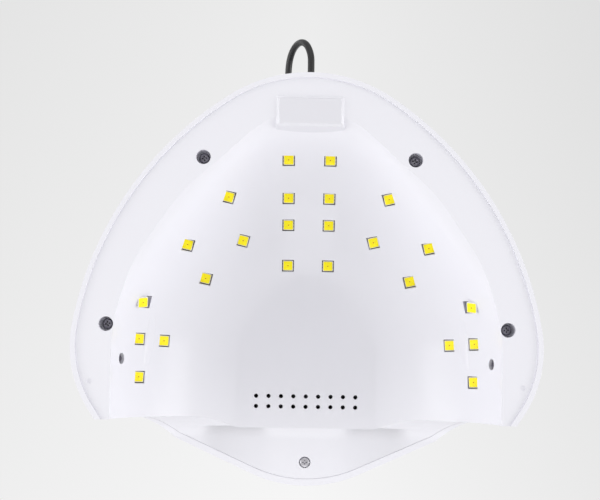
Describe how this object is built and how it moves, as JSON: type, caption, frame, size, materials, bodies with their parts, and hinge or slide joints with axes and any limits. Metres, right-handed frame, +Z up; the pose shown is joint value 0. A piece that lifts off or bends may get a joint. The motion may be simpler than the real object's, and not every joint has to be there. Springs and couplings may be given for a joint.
{
  "type": "led nail lamp",
  "caption": "Domed LED nail curing lamp with an open front hand space, LED windows in a white reflector, a top panel with buttons and display, and a DC lead.",
  "frame": {"origin": "centre of the lamp's box in plan, at the base rim that it stands on, measured without the free lead", "axes": "+Z up; -Y out of the hand opening at the front; +Y to the power socket at the rear; the YZ plane is the plane of symmetry"},
  "size_m": [0.2262, 0.2293, 0.1055],
  "materials": {
    "housing_white": "glossy white moulding with a faint lilac cast",
    "reflector_white": "satin-gloss white moulding with a faint lilac cast",
    "button_white": "gloss",
    "window_smoked": "polished smoked cover",
    "display_black": "matt",
    "board_green": "solder mask",
    "component_black": "matt",
    "led_board_dark": "dark solder mask on an aluminium board",
    "led_yellow": "yellow phosphor",
    "screw_dark": "blackened steel",
    "sensor_dark": "dark clear resin",
    "lead_black": "smooth black sheath",
    "tie_black": "matt",
    "plug_black": "moulded grip",
    "plug_metal": "nickel plated"
  },
  "bodies": {
    "lamp": {"coil_tie": "tie_black", "control_board": "board_green", "dc_lead": "lead_black", "dc_plug": "plug_black", "dc_socket": "component_black", "display_module": "display_black", "display_window": "window_smoked", "driver_board": "board_green", "driver_parts": "component_black", "end_connector": "plug_black", "hand_sensor_emitter": "sensor_dark", "hand_sensor_receiver": "sensor_dark", "housing_screws": "screw_dark", "lead_coil": "lead_black", "lead_tail": "lead_black", "led_board_front": "led_board_dark", "led_board_middle_left": "led_board_dark", "led_board_middle_right": "led_board_dark", "led_board_rear": "led_board_dark", "led_board_side_left": "led_board_dark", "led_board_side_right": "led_board_dark", "led_board_upper": "led_board_dark", "led_chips_front": "led_yellow", "led_chips_middle_left": "led_yellow", "led_chips_middle_right": "led_yellow", "led_chips_rear": "led_yellow", "led_chips_side_left": "led_yellow", "led_chips_side_right": "led_yellow", "led_chips_upper": "led_yellow", "outer_shell": "housing_white", "plug_barrel": "plug_metal", "push_switches": "component_black", "reflector": "reflector_white"},
    "button_10s": {"button_10s": "button_white", "switch_stem_10s": "component_black"},
    "button_30s": {"button_30s": "button_white", "switch_stem_30s": "component_black"},
    "button_60s": {"button_60s": "button_white", "switch_stem_60s": "component_black"},
    "button_99s": {"button_99s": "button_white", "switch_stem_99s": "component_black"}
  },
  "joints": [
    {"name": "press_10s", "type": "slide", "parent": "lamp", "child": "button_10s", "axis": [0, 0, -1], "range_m": [0, 0.0005], "stiffness_N_per_m": 1500, "springref_m": -0.0005},
    {"name": "press_30s", "type": "slide", "parent": "lamp", "child": "button_30s", "axis": [0, 0, -1], "range_m": [0, 0.0005], "stiffness_N_per_m": 1500, "springref_m": -0.0005},
    {"name": "press_60s", "type": "slide", "parent": "lamp", "child": "button_60s", "axis": [0, 0, -1], "range_m": [0, 0.0005], "stiffness_N_per_m": 1500, "springref_m": -0.0005},
    {"name": "press_99s", "type": "slide", "parent": "lamp", "child": "button_99s", "axis": [0, 0, -1], "range_m": [0, 0.0005], "stiffness_N_per_m": 1500, "springref_m": -0.0005}
  ]
}
